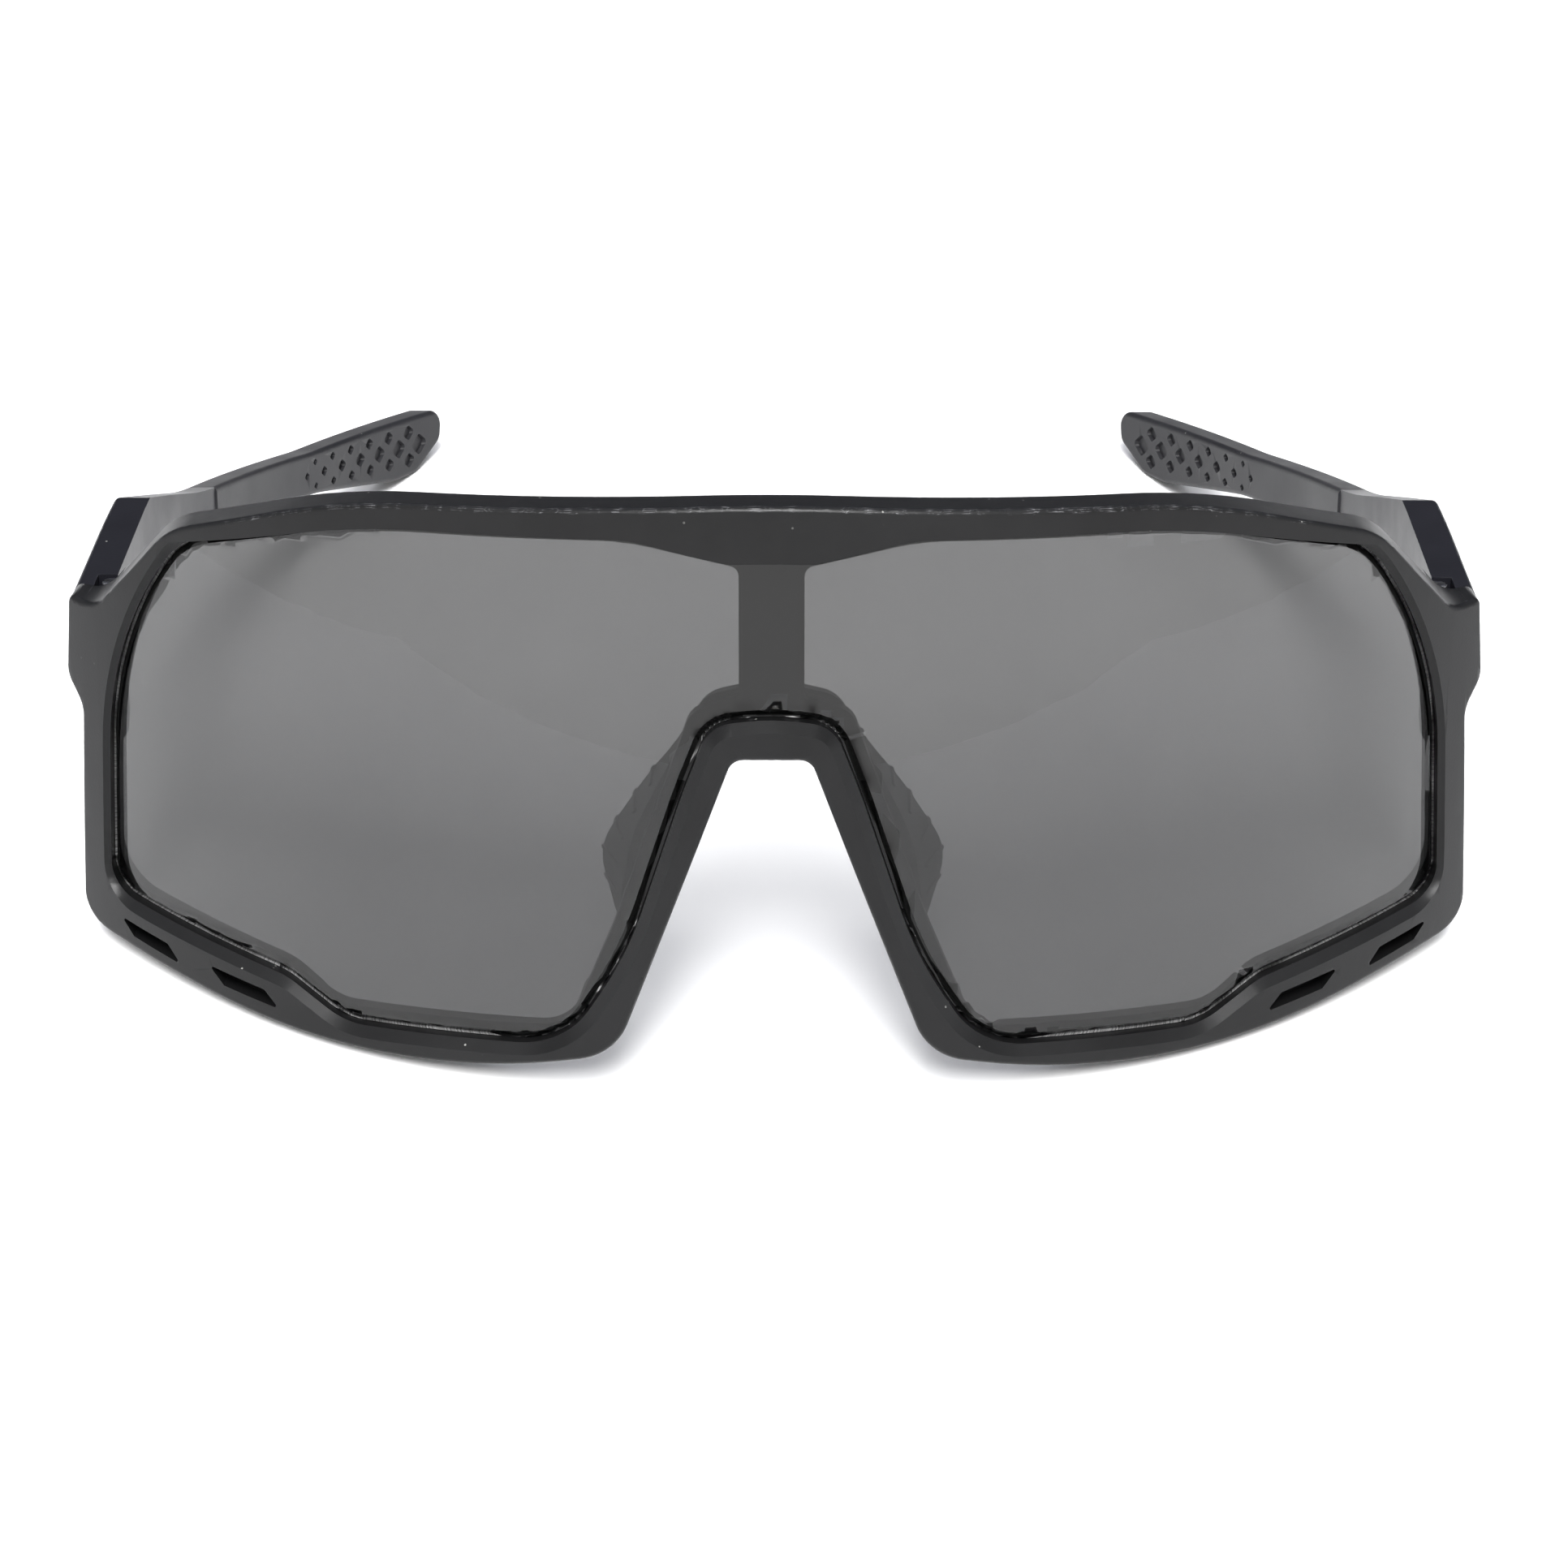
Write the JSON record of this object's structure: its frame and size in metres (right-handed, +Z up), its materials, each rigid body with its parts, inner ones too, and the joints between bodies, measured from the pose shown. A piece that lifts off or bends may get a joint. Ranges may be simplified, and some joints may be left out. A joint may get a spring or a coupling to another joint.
{
  "type": "wraparound sport sunglasses",
  "caption": "Wraparound sport sunglasses: a matt black front round one grey shield lens, a rubber nosepiece and hinged temples with dimpled rubber tips that fold behind the lens.",
  "frame": {"origin": "centre of the footprint, on the surface that the pair stands on, at the bottom of the bounding box", "axes": "+X to the wearer's left, +Y back along the open temples, +Z up; the lens faces -Y and leans back 11.2 degrees, as it does when the pair stands on its lower rim and its tips"},
  "size_m": [0.1458, 0.1522, 0.0607],
  "materials": {
    "frame_black": "matt moulded nylon, slightly worn along the top edge",
    "arm_black": "matt moulded nylon",
    "lens_grey": "polished grey tinted polycarbonate",
    "nose_rubber": "soft matt rubber",
    "tip_rubber": "soft matt rubber",
    "hinge_steel": "dark satin steel",
    "screw_steel": "satin steel"
  },
  "bodies": {
    "front": {"front_frame": "frame_black", "lens": "lens_grey", "nosepiece": "nose_rubber", "left_front_leaf": "hinge_steel", "right_front_leaf": "hinge_steel", "left_hinge_screw": "screw_steel", "right_hinge_screw": "screw_steel"},
    "left_temple": {"left_arm": "arm_black", "left_tip_sleeve": "tip_rubber", "left_temple_leaf": "hinge_steel", "left_leaf_screws": "screw_steel"},
    "right_temple": {"right_arm": "arm_black", "right_tip_sleeve": "tip_rubber", "right_temple_leaf": "hinge_steel", "right_leaf_screws": "screw_steel"}
  },
  "joints": [
    {"name": "left_temple_fold", "type": "hinge", "parent": "front", "child": "left_temple", "pos_m": [0.0686, -0.03617, 0.03217], "axis": [0, 0.1946, 0.9809], "range_deg": [0, 86]},
    {"name": "right_temple_fold", "type": "hinge", "parent": "front", "child": "right_temple", "pos_m": [-0.0686, -0.03617, 0.03217], "axis": [0, -0.1946, -0.9809], "range_deg": [0, 74]}
  ]
}
